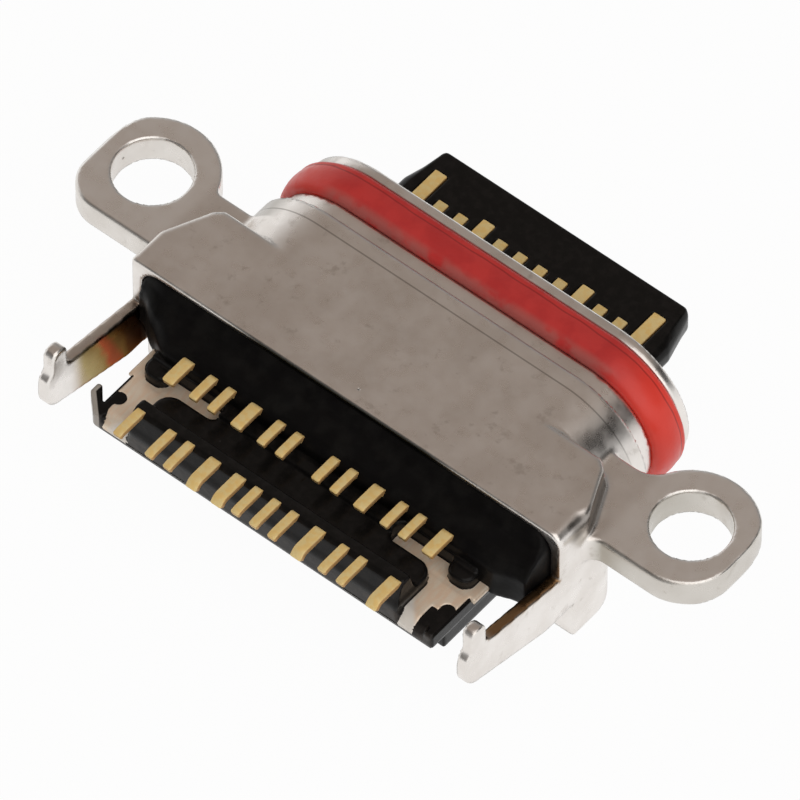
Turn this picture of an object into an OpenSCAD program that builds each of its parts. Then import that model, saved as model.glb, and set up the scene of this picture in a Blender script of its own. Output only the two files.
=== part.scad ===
// Sealed charging port for a small board: a one-piece moulded shell with two screw
// ears and two solder legs, a seal ring, and a tongue with two rows of contacts.
// Millimetres. X runs across the port, Y towards the plug and Z up to the board.
// The origin is midway between the screw holes, on the ears' upper faces.

/* [Plug opening] */
// Width of the plug opening
mouth_w = 8.34; // [8.1:0.02:8.5]
// Height of the plug opening
mouth_h = 2.56; // [2.4:0.02:2.7]
// Depth of the plug opening, from the front flange to the core
mouth_depth = 2.4; // [2.2:0.05:2.6]

/* [Tongue] */
// Depth of the tongue's mid plane below the ears' upper faces
axis_drop = 1.11; // [1.05:0.01:1.2]
// Plastic beside the outermost contacts, which sets the tongue's width
tongue_edge = 0.445; // [0.35:0.005:0.5]
// Thickness of the tongue
tongue_t = 0.7; // [0.64:0.01:0.76]
// Reach of the tongue past the front flange
tongue_reach = 2.04; // [1.8:0.02:2.3]
// Length of the bevel at each front corner of the tongue
tip_bevel_l = 0.95; // [0.6:0.01:1.1]
// Width of the bevel at each front corner of the tongue
tip_bevel_w = 0.27; // [0.1:0.01:0.35]
// Thickness of the tongue's root
root_t = 1.2; // [1:0.02:1.4]
// Length of the tongue's root
root_l = 0.9; // [0.7:0.02:1.1]

/* [Core and ground pads] */
// Length of the core that closes the plug opening
core_l = 1.25; // [1.2:0.01:1.35]
// Gap left around a moulded fit, filled by the bond
fit = 0.01; // [0.005:0.005:0.02]
// Width of each ground pad
pad_w = 5.2; // [4.6:0.05:5.8]
// Thickness of each ground pad
pad_t = 0.1; // [0.06:0.01:0.14]
// Bare margin of the root in front of each ground pad
pad_margin = 0.1; // [0.05:0.01:0.2]

/* [Contacts] */
// Spacing of the contacts along the tongue
contact_pitch = 0.5; // [0.47:0.01:0.51]
// Thickness of the contact strip
contact_t = 0.13; // [0.1:0.01:0.14]
// Width of a signal contact on the tongue
signal_w = 0.25; // [0.2:0.01:0.28]
// Width of a power or ground contact on the tongue
power_w = 0.3; // [0.26:0.01:0.34]
// Setback of the ground contacts' ends from the tongue's tip
ground_setback = 0.51; // [0.4:0.01:0.6]
// Setback of the power contacts' ends from the tongue's tip
power_setback = 0.86; // [0.75:0.01:0.95]
// Setback of the signal contacts' ends from the tongue's tip
signal_setback = 1.04; // [0.95:0.01:1.2]

/* [Solder tails] */
// Length of each solder tail
tail_l = 0.74; // [0.6:0.02:0.85]
// Width of a signal tail
tail_w = 0.2; // [0.16:0.01:0.24]
// Width of a power or ground tail
wide_tail_w = 0.27; // [0.22:0.01:0.3]
// Step between neighbouring signal tails
signal_step = 0.455; // [0.43:0.005:0.47]
// Step between a power tail and its neighbour
power_step = 0.625; // [0.59:0.005:0.64]
// Step to the last tail at each end of the rear row
end_step = 0.79; // [0.7:0.01:0.82]
// Distance of the front row's bends behind the screw holes
front_tail_y = 3.03; // [2.9:0.01:3.1]
// Distance of the rear row's bends behind the screw holes
rear_tail_y = 4.63; // [4.55:0.01:4.8]
// Inner radius of each tail's bend
bend_r = 0.06; // [0.03:0.01:0.1]

/* [Base and mid plate] */
// Width of the plastic base
base_w = 8.5; // [8.4:0.02:8.6]
// Reach of the hook at the base's rear left corner
hook_reach = 0.38; // [0.3:0.01:0.45]
// Length of that hook
hook_l = 0.64; // [0.5:0.01:0.7]
// Width of that hook's tip
hook_tip_w = 0.1; // [0.06:0.01:0.15]
// Bevel of that hook's rear corner
base_bevel = 0.4; // [0.3:0.01:0.5]
// Width of the mid plate where it lies bare on the base
plate_w = 8.66; // [8.5:0.02:8.7]
// Thickness of the mid plate
plate_t = 0.12; // [0.1:0.01:0.14]
// Height of the bare mid plate's upper face over the tongue's mid plane
plate_rise = 0.34; // [0.3:0.01:0.38]
// Plastic under the mid plate
under_t = 0.27; // [0.2:0.01:0.32]
// Height of the island over the mid plate
island_h = 0.26; // [0.2:0.01:0.32]
// Distance of the island's front edge behind the screw holes
island_front_y = 3.62; // [3.5:0.02:3.8]
// Corner radius of the island
island_r = 0.35; // [0.2:0.01:0.4]
// Half width of the bridge between the island and the front block
bridge_half_w = 2.17; // [2:0.01:2.3]
// Distance of each front lobe from the middle
lobe_x = 3.8; // [3.75:0.01:3.9]
// Radius of each front lobe
lobe_r = 0.27; // [0.2:0.01:0.3]
// Distance of the front lobes' ends behind the screw holes
lobe_end_y = 3.56; // [3.5:0.01:3.7]
// Plastic between the mid plate and the upper contacts
contact_gap = 0.1; // [0.06:0.01:0.12]
// Plastic over and under the contacts in the base
cover_t = 0.15; // [0.1:0.01:0.2]
// Plastic outside the contacts' bends
skin_t = 0.05; // [0.03:0.01:0.08]

/* [Shell body] */
// Width of the rear box
body_w = 10.75; // [10.6:0.05:11.2]
// Height of the rear box
body_h = 3.56; // [3.5:0.02:3.8]
// Thickness of the side walls and the legs
side_wall = 0.28; // [0.22:0.01:0.34]
// Thickness of the roof and the floor
roof_t = 0.18; // [0.14:0.01:0.24]
// Rounding of the rear box's long edges
body_edge_r = 0.35; // [0.25:0.01:0.45]
// Rounding of the rear box's inside corners
cavity_r = 0.42; // [0.25:0.01:0.5]
// Distance of the rear box's open end behind the screw holes
body_rear = 2.28; // [2.1:0.02:2.4]
// Distance of the rear box's front behind the screw holes
body_setback = 0.2; // [0.1:0.01:0.25]
// Rounding of the rear box's shoulders, seen from above
shoulder_r = 0.95; // [0.8:0.01:1.2]
// How far the lower half of the open end is cut short
belly_cut = 0.43; // [0.3:0.01:0.5]
// Setback of the potting inside the open end
potting_setback = 0.12; // [0.08:0.01:0.2]

/* [Neck and seal] */
// Distance of the front flange's face in front of the screw holes
flange_reach = 2.45; // [2.35:0.01:2.6]
// Thickness of the front flange
flange_t = 0.25; // [0.2:0.01:0.3]
// Width of the front flange
flange_w = 9.5; // [9.3:0.02:9.6]
// Height of the front flange
flange_h = 3.48; // [3.35:0.02:3.55]
// Width of the neck
neck_w = 9.3; // [9.2:0.02:9.6]
// Height of the neck
neck_h = 3.12; // [3.04:0.02:3.3]
// Length of the neck's lower ledge behind the seal
ledge_l = 0.4; // [0.3:0.02:0.5]
// Depth of the seal groove below the neck
groove_d = 0.1; // [0.06:0.01:0.14]
// Length of the seal groove
seal_l = 0.8; // [0.7:0.02:0.9]
// Height of the seal's crest over the neck
seal_proud = 0.28; // [0.2:0.01:0.34]
// Height of the seal's rounded crown
seal_crown = 0.14; // [0.08:0.01:0.2]

/* [Screw ears] */
// Distance between the two screw holes
ear_spacing = 13.5; // [13.3:0.05:14]
// Diameter of each screw hole
ear_hole_d = 1.63; // [1.4:0.01:1.8]
// Radius of each ear's head
ear_head_r = 1.36; // [1.3:0.01:1.5]
// Distance of each ear's rear edge behind its hole
ear_rear = 1.42; // [1.38:0.01:1.5]
// Distance of each ear's outer end from its hole
ear_end = 1.25; // [1.15:0.01:1.35]
// Rounding of each ear's rear corner
ear_corner_r = 0.75; // [0.5:0.01:0.9]
// Thickness of each ear
ear_t = 0.7; // [0.6:0.01:0.8]
// Distance of each ear root's front edge in front of the screw holes
ear_root_y = 0.4; // [0.3:0.01:0.5]
// Fillet between each ear's head and its root
ear_fillet_r = 0.7; // [0.5:0.01:0.8]
// Blend between each ear and the rear box
blend_r = 0.4; // [0.25:0.01:0.45]

/* [Solder legs] */
// Length of each leg behind the rear box
leg_l = 2.85; // [2.6:0.05:3]
// Height of each leg
leg_h = 1.2; // [1:0.02:1.25]
// Depth of each leg's upper edge below the ears' upper faces, at the rear box
leg_drop = 0.61; // [0.5:0.01:0.7]
// Rise of each leg towards its end, in degrees
leg_rise = 9; // [6:0.5:10]
// Rounding of each leg's lower end
leg_end_r = 0.42; // [0.3:0.01:0.5]
// Width of the nub that enters the board
nub_w = 0.44; // [0.36:0.01:0.5]
// Height of the nub over the ears' upper faces
nub_top = 0.4; // [0.35:0.01:0.5]
// Setback of the nub from the leg's end
nub_setback = 0.17; // [0.1:0.01:0.25]

/* [Hidden] */
$fn = 48;
PER_ROW = 12;
PER_SIDE = PER_ROW / 2;
GROUND = [0, 11];
POWER = [3, 8];
FRONT_WIDE = [0, 3, 8, 11];
REAR_WIDE = [3, 4, 8, 11];
CUT_PAST = 0.5;

function two_digits(number) = str(number < 10 ? "0" : "", number);
UPPER_NAMES = [for (number = [1 : PER_ROW]) str("upper_contact_", two_digits(number))];
LOWER_NAMES = [for (number = [1 : PER_ROW]) str("lower_contact_", two_digits(number))];
SINGLES = ["shell", "seal_ring", "insulator", "mid_plate", "potting", "ground_pad_upper", "ground_pad_lower"];

// Places along Y
axis_z = -axis_drop;
seal_front_y = flange_reach - flange_t;
seal_rear_y = seal_front_y - seal_l;
seal_straight = flange_w - flange_h;
collar_y = seal_rear_y - ledge_l;
core_front_y = flange_reach - mouth_depth;
core_rear_y = core_front_y - core_l;
root_front_y = core_front_y + root_l;
tip_y = flange_reach + tongue_reach;
belly_y = belly_cut - body_rear;
potting_rear_y = potting_setback - body_rear;
front_bend_y = -front_tail_y;
rear_bend_y = -rear_tail_y;
front_block_rear_y = front_bend_y - contact_t - skin_t;
base_rear_y = rear_bend_y - contact_t - skin_t;

// The contacts change level inside the core and the base
upper_jog_y = core_front_y - contact_t - cover_t;
plate_jog_y = upper_jog_y - contact_t - contact_gap;
lower_jog_y = rear_bend_y + contact_t + 2 * cover_t;
lower_block_rear_y = lower_jog_y - contact_t - skin_t;

// Levels over the tongue's mid plane
upper_strip_z = tongue_t / 2 - contact_t;
lower_strip_z = -tongue_t / 2;
plate_low_z = plate_rise - plate_t;
slab_z = plate_low_z - under_t;
upper_run_z = plate_rise + contact_gap;
lower_run_z = plate_rise - contact_t;
front_block_z = upper_run_z + contact_t + cover_t;
lower_block_z = lower_strip_z - cover_t;
island_z = plate_rise + island_h;

// The rear box's inside, and the turn of its shoulders
cavity_w = body_w - 2 * side_wall;
cavity_h = body_h - 2 * roof_t;
turn_x = body_w / 2 - shoulder_r;
turn_y = -body_setback - shoulder_r;

// Rows of tails, from the middle outwards
function running_sum(steps, count) = count < 0 ? 0 : steps[count] + running_sum(steps, count - 1);
FRONT_STEPS = [signal_step, signal_step, power_step, power_step, signal_step, power_step];
REAR_STEPS = [signal_step / 2, signal_step, power_step, power_step, signal_step, end_step];
function from_middle(place) = place < PER_SIDE ? PER_SIDE - 1 - place : place - PER_SIDE;
function side_of(place) = place < PER_SIDE ? -1 : 1;
function tail_x(steps, place) = side_of(place) * running_sum(steps, from_middle(place));
function tongue_x(place) = (place - (PER_ROW - 1) / 2) * contact_pitch;
function is_in(list, value) = len([for (item = list) if (item == value) item]) > 0;
function is_power(place) = is_in(POWER, place) || is_in(GROUND, place);
function strip_w(place) = is_power(place) ? power_w : signal_w;
function front_w(place) = is_in(FRONT_WIDE, place) ? wide_tail_w : tail_w;
function rear_w(place) = is_in(REAR_WIDE, place) ? wide_tail_w : tail_w;
function setback(place) =
    is_in(GROUND, place) ? ground_setback : is_in(POWER, place) ? power_setback : signal_setback;
tongue_w = (PER_ROW - 1) * contact_pitch + power_w + 2 * tongue_edge;
island_half_w = tail_x(REAR_STEPS, PER_ROW - 1) + wide_tail_w / 2 + skin_t;
block_half_w = lobe_x + lobe_r;

// Colours
STEEL = [0.55, 0.53, 0.51];
SILICONE = [0.78, 0.08, 0.07];
BLACK_PLASTIC = [0.07, 0.07, 0.07];
EPOXY = [0.04, 0.04, 0.04];
PLATE_STEEL = [0.72, 0.69, 0.65];
GOLD = [0.92, 0.8, 0.52];

module stadium(w, h) {
    square([w - h, h], center = true);
    for (side = [-1, 1])
        translate([side * (w - h) / 2, 0])
            circle(d = h);
}

module rounded_box(w, h, r) {
    square([w - 2 * r, h], center = true);
    square([w, h - 2 * r], center = true);
    for (x = [-1, 1])
        for (y = [-1, 1])
            translate([x * (w / 2 - r), y * (h / 2 - r)])
                circle(r);
}

// A section in X and Z, drawn about the tongue's mid plane and run along Y
module along_y(rear, front) {
    translate([0, front, axis_z])
        rotate([90, 0, 0])
            linear_extrude(front - rear)
                children();
}

// An outline in X and Y, run up from one level over the tongue's mid plane to another
module between(low, high) {
    translate([0, 0, axis_z + low])
        linear_extrude(high - low)
            children();
}

// A profile in Y and Z, run along X from a left edge
module across(left, w) {
    translate([left, 0, 0])
        rotate([90, 0, 90])
            linear_extrude(w)
                children();
}

module span(half_w, rear, front) {
    translate([-half_w, rear])
        square([2 * half_w, front - rear]);
}

// The rear box's front edge and shoulders: distance out from the turn, and height
module shoulder_section() {
    intersection() {
        rounded_box(2 * shoulder_r, body_h, body_edge_r);
        translate([0, -body_h / 2])
            square([shoulder_r, body_h]);
    }
}

module body_block() {
    along_y(-body_rear, turn_y)
        rounded_box(body_w, body_h, body_edge_r);
    across(-turn_x, 2 * turn_x)
        translate([turn_y, axis_z])
            shoulder_section();
    for (side = [0, 1])
        mirror([side, 0, 0])
            translate([turn_x, turn_y, axis_z])
                rotate_extrude(angle = 90)
                    shoulder_section();
}

module neck() {
    collar_w = neck_w + body_h - neck_h;
    groove_h = neck_h - 2 * groove_d;
    along_y(core_rear_y, collar_y)
        stadium(collar_w, body_h);
    along_y(collar_y, seal_rear_y)
        stadium(neck_w, neck_h);
    along_y(seal_rear_y, seal_front_y)
        stadium(seal_straight + groove_h, groove_h);
    along_y(seal_front_y, flange_reach)
        stadium(flange_w, flange_h);
}

// The right ear, seen from above
module ear_outline() {
    hole_x = ear_spacing / 2;
    fillet_reach = ear_head_r + ear_fillet_r;
    fillet_y = ear_root_y + ear_fillet_r;
    fillet_x = sqrt(fillet_reach * fillet_reach - fillet_y * fillet_y);
    touch = ear_head_r / fillet_reach;
    translate([hole_x, 0]) {
        intersection() {
            circle(ear_head_r);
            translate([ear_end - 3 * ear_head_r, -ear_head_r])
                square([3 * ear_head_r, 2 * ear_head_r]);
        }
        translate([0, -ear_rear])
            square([ear_end - ear_corner_r, ear_rear]);
        translate([0, ear_corner_r - ear_rear])
            square([ear_end, ear_rear - ear_corner_r]);
        translate([ear_end - ear_corner_r, ear_corner_r - ear_rear])
            circle(ear_corner_r);
        difference() {
            polygon([[-fillet_x, 0], [-fillet_x, ear_root_y], [-fillet_x * touch, fillet_y * touch], [0, 0]]);
            translate([-fillet_x, fillet_y])
                circle(ear_fillet_r);
        }
    }
    translate([mouth_w / 2, -ear_rear])
        square([hole_x - mouth_w / 2, ear_rear + ear_root_y]);
}

// The blend's section: distance out from the shoulder, and height over the ear
module blend_section() {
    reach = body_edge_r + blend_r - fit / 2;
    corner_z = axis_z + body_h / 2 - body_edge_r;
    rise = blend_r - corner_z;
    centre_x = sqrt(reach * reach - rise * rise) - body_edge_r;
    share = body_edge_r / reach;
    touch_x = (centre_x + body_edge_r) * share - body_edge_r;
    touch_z = corner_z + rise * share;
    difference() {
        polygon([[-blend_r, -blend_r], [centre_x, -blend_r], [centre_x, 0], [touch_x, touch_z], [-blend_r, touch_z]]);
        translate([centre_x, blend_r])
            circle(blend_r);
    }
}

// The hollow blend from the right ear's upper face up the rear box's shoulder
module ear_blend() {
    intersection() {
        union() {
            translate([turn_x, turn_y, 0])
                rotate_extrude(angle = 90)
                    translate([shoulder_r, 0])
                        blend_section();
            translate([body_w / 2, turn_y, 0])
                rotate([90, 0, 0])
                    linear_extrude(body_rear + turn_y)
                        blend_section();
        }
        translate([0, 0, -ear_t])
            linear_extrude(ear_t + blend_r)
                ear_outline();
    }
}

module ear() {
    translate([0, 0, -ear_t])
        linear_extrude(ear_t)
            ear_outline();
    ear_blend();
}

function leg_top(y) = tan(leg_rise) * (-y - body_rear) - leg_drop;

// One leg, seen from the side
module leg_profile() {
    root_y = belly_y;
    end_y = -body_rear - leg_l;
    nub_rear_y = end_y + nub_setback;
    nub_front_y = nub_rear_y + nub_w;
    turn_y = end_y + leg_end_r;
    turn_z = leg_top(turn_y) - leg_h + leg_end_r / cos(leg_rise);
    polygon([
        [root_y, leg_top(root_y)],
        [nub_rear_y, leg_top(nub_rear_y)],
        [end_y, leg_top(end_y) - 2 * nub_setback],
        [end_y, turn_z],
        [turn_y, turn_z],
        [turn_y, leg_top(turn_y) - leg_h],
        [root_y, leg_top(root_y) - leg_h]
    ]);
    translate([turn_y, turn_z])
        circle(leg_end_r);
    translate([nub_rear_y, leg_top(nub_front_y) - nub_w])
        square([nub_w, nub_top + nub_w / 2 - leg_top(nub_front_y)]);
    translate([(nub_rear_y + nub_front_y) / 2, nub_top - nub_w / 2])
        circle(d = nub_w);
}

module shell() {
    belly_top_z = leg_top(-body_rear) - leg_h;
    color(STEEL)
        difference() {
            union() {
                body_block();
                neck();
                for (side = [0, 1])
                    mirror([side, 0, 0]) {
                        ear();
                        across(body_w / 2 - side_wall, side_wall)
                            leg_profile();
                    }
            }
            along_y(core_rear_y - CUT_PAST, flange_reach + CUT_PAST)
                stadium(mouth_w, mouth_h);
            along_y(-body_rear - CUT_PAST, core_rear_y)
                rounded_box(cavity_w, cavity_h, cavity_r);
            translate([-body_w, -body_rear - CUT_PAST, axis_z - body_h])
                cube([2 * body_w, belly_cut + CUT_PAST, belly_top_z - axis_z + body_h]);
            for (side = [-1, 1])
                translate([side * ear_spacing / 2, 0, -ear_t - CUT_PAST])
                    cylinder(d = ear_hole_d, h = ear_t + 2 * CUT_PAST);
        }
}

// The seal's section: distance from the end's centre, and place along Y
module seal_section() {
    floor_r = neck_h / 2 - groove_d + fit;
    crest_r = neck_h / 2 + seal_proud;
    half_l = seal_l / 2 - fit;
    crown_r = (half_l * half_l + seal_crown * seal_crown) / (2 * seal_crown);
    intersection() {
        translate([floor_r, seal_rear_y + fit])
            square([crest_r - floor_r, 2 * half_l]);
        translate([crest_r - crown_r, (seal_rear_y + seal_front_y) / 2])
            circle(crown_r);
    }
}

module seal_ring() {
    color(SILICONE)
        translate([0, 0, axis_z]) {
            for (side = [-1, 1])
                translate([side * seal_straight / 2, 0, 0])
                    rotate([-90, 0, 0])
                        rotate([0, 0, -90 * side])
                            rotate_extrude(angle = 180)
                                seal_section();
            for (flip = [0, 1])
                mirror([0, 0, flip])
                    translate([seal_straight / 2, 0, 0])
                        rotate([0, -90, 0])
                            linear_extrude(seal_straight)
                                seal_section();
        }
}

module tongue() {
    half_w = tongue_w / 2;
    between(-tongue_t / 2, tongue_t / 2)
        polygon([
            [-half_w, core_front_y],
            [-half_w, tip_y - tip_bevel_l],
            [tip_bevel_w - half_w, tip_y],
            [half_w - tip_bevel_w, tip_y],
            [half_w, tip_y - tip_bevel_l],
            [half_w, core_front_y]
        ]);
    between(-root_t / 2, root_t / 2)
        span(half_w, core_front_y, root_front_y);
}

// The base's plastic at the level of the mid plate and below it
module base_slab() {
    half_w = base_w / 2;
    hook_x = -half_w - hook_reach;
    between(slab_z, plate_rise)
        polygon([
            [-half_w, core_rear_y],
            [-half_w, base_rear_y + hook_l / 2],
            [hook_x + hook_tip_w, base_rear_y + hook_l],
            [hook_x, base_rear_y + hook_l],
            [hook_x, base_rear_y + base_bevel],
            [hook_x + base_bevel, base_rear_y],
            [half_w, base_rear_y],
            [half_w, core_rear_y]
        ]);
    between(lower_block_z, slab_z)
        span(island_half_w, lower_block_rear_y, core_rear_y);
}

module front_block() {
    between(plate_rise, front_block_z) {
        span(block_half_w, front_block_rear_y, core_rear_y);
        for (side = [-1, 1]) {
            translate([side * lobe_x - lobe_r, lobe_r - lobe_end_y])
                square([2 * lobe_r, lobe_end_y + front_block_rear_y]);
            translate([side * lobe_x, lobe_r - lobe_end_y])
                circle(lobe_r);
        }
    }
}

module island() {
    round_y = -island_front_y - island_r;
    between(plate_low_z, island_z) {
        span(island_half_w, base_rear_y, round_y);
        span(island_half_w - island_r, base_rear_y, -island_front_y);
        for (side = [-1, 1])
            translate([side * (island_half_w - island_r), round_y])
                circle(island_r);
    }
    between(plate_rise, island_z)
        span(bridge_half_w, round_y, front_block_rear_y);
}

module insulator() {
    color(BLACK_PLASTIC)
        difference() {
            union() {
                tongue();
                along_y(core_rear_y, core_front_y)
                    stadium(mouth_w - 2 * fit, mouth_h - 2 * fit);
                base_slab();
                front_block();
                island();
            }
            mid_plate();
            for (place = [0 : PER_ROW - 1]) {
                upper_contact(place);
                lower_contact(place);
            }
        }
}

// The bare end of the mid plate on the right, with its edge steps and its round notch
module plate_arm() {
    edge_step = 0.13;
    notch_r = 0.15;
    step_y = -island_front_y;
    notch_y = (step_y + base_rear_y) / 2;
    difference() {
        translate([island_half_w, base_rear_y])
            square([plate_w / 2 - island_half_w, step_y - base_rear_y]);
        translate([plate_w / 2 - edge_step, base_rear_y - CUT_PAST])
            square([CUT_PAST, step_y - base_rear_y + CUT_PAST]);
        translate([plate_w / 2 - 2 * edge_step, notch_y])
            circle(notch_r);
        translate([plate_w / 2 - 2 * edge_step, base_rear_y - CUT_PAST])
            square([CUT_PAST, notch_y - base_rear_y + CUT_PAST]);
    }
}

module mid_plate() {
    half_w = tongue_w / 2;
    color(PLATE_STEEL) {
        between(-plate_t / 2, plate_t / 2)
            span(half_w, plate_jog_y - plate_t, tip_y - tip_bevel_l);
        between(-plate_t / 2, plate_rise)
            span(half_w, plate_jog_y - plate_t, plate_jog_y);
        between(plate_low_z, plate_rise) {
            span(half_w, -body_rear, plate_jog_y);
            span(plate_w / 2, -island_front_y, potting_rear_y);
            plate_arm();
            mirror([1, 0])
                plate_arm();
        }
    }
}

// Black filling over and under the base, inside the rear box and just behind it
module potting() {
    low_rear_y = belly_y + potting_setback;
    slope_end_y = front_bend_y + contact_t;
    top_z = cavity_h / 2 - fit;
    color(EPOXY)
        difference() {
            intersection() {
                along_y(slope_end_y, core_rear_y)
                    rounded_box(cavity_w - 2 * fit, 2 * top_z, cavity_r - fit);
                across(-body_w / 2, body_w)
                    translate([0, axis_z])
                        polygon([
                            [core_rear_y, -top_z],
                            [low_rear_y, -top_z],
                            [low_rear_y, lower_block_z],
                            [potting_rear_y, slab_z],
                            [slope_end_y, front_block_z],
                            [potting_rear_y, top_z],
                            [core_rear_y, top_z]
                        ]);
                between(-body_h, body_h) {
                    span(cavity_w / 2, potting_rear_y, core_rear_y);
                    span(block_half_w, slope_end_y, core_rear_y);
                }
            }
            base_slab();
            front_block();
        }
}

module ground_pad(side) {
    low = side > 0 ? root_t / 2 : -root_t / 2 - pad_t;
    color(PLATE_STEEL)
        between(low, low + pad_t)
            span(pad_w / 2, core_front_y, root_front_y - pad_margin);
}

module ground_pad_upper() {
    ground_pad(1);
}

module ground_pad_lower() {
    ground_pad(-1);
}

// A flat strip through places [x, y, width], from front to rear
module strip(low, stations) {
    last = len(stations) - 1;
    right = [for (s = stations) [s[0] + s[2] / 2, s[1]]];
    left = [for (turn = [0 : last]) let (s = stations[last - turn]) [s[0] - s[2] / 2, s[1]]];
    between(low, low + contact_t)
        polygon(concat(right, left));
}

// The upright step of a strip from one level to another
module jog(x, y, w, low, high) {
    between(low, high)
        translate([x - w / 2, y - contact_t])
            square([w, contact_t]);
}

// The upright end of a contact and its solder tail, level with the ears' upper faces
module tail(x, bend_y, w, low) {
    outer_r = bend_r + contact_t;
    across(x - w / 2, w)
        union() {
            translate([bend_y - contact_t, axis_z + low])
                square([contact_t, -axis_z - low - outer_r]);
            translate([bend_y - outer_r, -outer_r])
                difference() {
                    intersection() {
                        circle(outer_r);
                        square(outer_r);
                    }
                    circle(bend_r);
                }
            translate([bend_y - tail_l, -contact_t])
                square([tail_l - outer_r, contact_t]);
        }
}

module upper_contact(place) {
    x = tongue_x(place);
    w = strip_w(place);
    end_x = tail_x(FRONT_STEPS, place);
    end_w = front_w(place);
    color(GOLD) {
        strip(upper_strip_z, [[x, tip_y - setback(place), w], [x, upper_jog_y - contact_t, w]]);
        jog(x, upper_jog_y, w, upper_strip_z, upper_run_z + contact_t);
        strip(upper_run_z, [
            [x, upper_jog_y, w],
            [x, core_rear_y, w],
            [end_x, front_bend_y + contact_t, end_w],
            [end_x, front_bend_y - contact_t, end_w]
        ]);
        tail(end_x, front_bend_y, end_w, upper_run_z);
    }
}

module lower_contact(place) {
    x = tongue_x(place);
    w = strip_w(place);
    end_x = tail_x(REAR_STEPS, place);
    end_w = rear_w(place);
    color(GOLD) {
        strip(lower_strip_z, [
            [x, tip_y - setback(place), w],
            [x, core_rear_y, w],
            [end_x, lower_jog_y + contact_t, end_w],
            [end_x, lower_jog_y - contact_t, end_w]
        ]);
        jog(end_x, lower_jog_y, end_w, lower_strip_z, lower_run_z + contact_t);
        strip(lower_run_z, [[end_x, lower_jog_y, end_w], [end_x, rear_bend_y - contact_t, end_w]]);
        tail(end_x, rear_bend_y, end_w, lower_run_z);
    }
}

shell();
seal_ring();
insulator();
mid_plate();
potting();
ground_pad_upper();
ground_pad_lower();
for (place = [0 : PER_ROW - 1]) {
    upper_contact(place);
    lower_contact(place);
}
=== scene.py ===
"""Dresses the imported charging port: rounded shell, seal, plastic, potting, plate and contacts."""

import math

import bpy
import numpy as np
from mathutils import Matrix, Vector


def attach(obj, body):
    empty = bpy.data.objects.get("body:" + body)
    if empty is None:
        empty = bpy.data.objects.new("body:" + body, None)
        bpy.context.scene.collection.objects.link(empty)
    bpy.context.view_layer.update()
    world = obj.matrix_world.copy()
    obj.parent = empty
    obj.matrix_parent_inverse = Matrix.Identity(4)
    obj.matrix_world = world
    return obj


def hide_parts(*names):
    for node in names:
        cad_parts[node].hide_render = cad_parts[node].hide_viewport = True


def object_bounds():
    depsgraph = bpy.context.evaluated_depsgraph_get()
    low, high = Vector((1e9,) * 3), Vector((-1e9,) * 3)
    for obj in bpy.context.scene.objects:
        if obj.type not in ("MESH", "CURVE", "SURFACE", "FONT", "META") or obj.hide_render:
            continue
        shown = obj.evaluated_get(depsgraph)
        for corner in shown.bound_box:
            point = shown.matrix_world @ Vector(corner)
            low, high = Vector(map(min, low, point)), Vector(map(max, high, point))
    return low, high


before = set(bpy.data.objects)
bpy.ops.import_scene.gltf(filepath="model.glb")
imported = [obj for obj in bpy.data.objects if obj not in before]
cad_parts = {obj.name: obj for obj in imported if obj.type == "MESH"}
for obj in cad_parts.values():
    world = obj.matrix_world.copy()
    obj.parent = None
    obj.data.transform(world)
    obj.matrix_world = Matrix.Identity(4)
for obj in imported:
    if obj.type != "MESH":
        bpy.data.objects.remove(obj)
cad_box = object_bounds()

# Sizes in millimetres, in the frame of the solids: x across, y to the plug, z up to the board
MM = 0.001
AXIS = -1.11

# Shell
BOX_HALF_W = 5.375
BOX_HALF_H = 1.78
BOX_FRONT = -0.22
BOX_REAR = -2.28
BELLY_REAR = -1.85
BELLY_TOP = -1.81
SIDE_WALL = 0.28
ROOF = 0.18
SHOULDER_R = 0.95
COLLAR = (9.74, 3.56)
NECK = (9.3, 3.12)
GROOVE = (8.94, 2.92)
FLANGE = (9.5, 3.48)
MOUTH = (8.34, 2.56)
FLANGE_FRONT = 2.45
SEAL_FRONT = 2.2
SEAL_REAR = 1.4
COLLAR_FRONT = 1.0
FOOT_INNER = 4.82
FOOT_OUTER = BOX_HALF_W - 0.02
FOOT_FRONT = -1.4
FOOT_BOTTOM = -2.87
FOOT_TOP = -1.7

# Ears
HOLE_X = 6.75
HOLE_R = 0.815
EAR_T = 0.7
EAR_HEAD_R = 1.36
EAR_FRONT = 0.4
EAR_REAR = -1.42
EAR_END = 7.955

# Legs
LEG_SLOPE = 9
LEG_ROOT = -1.6
LEG_START_Z = -0.61
LEG_TURN = (-4.68, -0.78)
LEG_END_R = 0.45
NUB_REAR = -4.96
NUB_FRONT = -4.52
NUB_TOP = 0.4

# Tongue, core and base, with heights above the axis
CORE_FRONT = 0.05
CORE_REAR = -1.2
TONGUE_HALF_W = 3.345
TONGUE_HALF_T = 0.35
TIP = 4.49
ROOT_FRONT = 0.95
ROOT_REAR = -0.2
ROOT_HALF_T = 0.6
BASE_REAR = -4.81
BASE_BOTTOM = -0.05
PLATE_TOP = 0.34
LOWER_REAR = -4.38
LOWER_HALF_W = 4.2
BLOCK_FRONT = -1.0
BLOCK_REAR = -3.21
BLOCK_HALF_W = 4.07
BLOCK_TOP = 0.72
ISLAND_FRONT = -3.62
ISLAND_HALF_W = 3.3625
ISLAND_TOP = 0.6
BRIDGE_HALF_W = 2.17
BRIDGE_FRONT = -3.1
BRIDGE_R = 0.18
TAB_INNER = 3.36
TAB_OUTER = 4.06
TAB_START = -4.5

# Contacts
PER_ROW = 12
PITCH = 0.5
CONTACT_T = 0.13
WIDE_TAIL = 0.27
NARROW_TAIL = 0.2
TONGUE_RUN = 0.29
UPPER_RUN = 0.505
LOWER_RISE = 0.275
FRONT_BEND = -3.03
FRONT_END = -3.77
REAR_BEND = -4.53
REAR_END = -5.37

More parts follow.
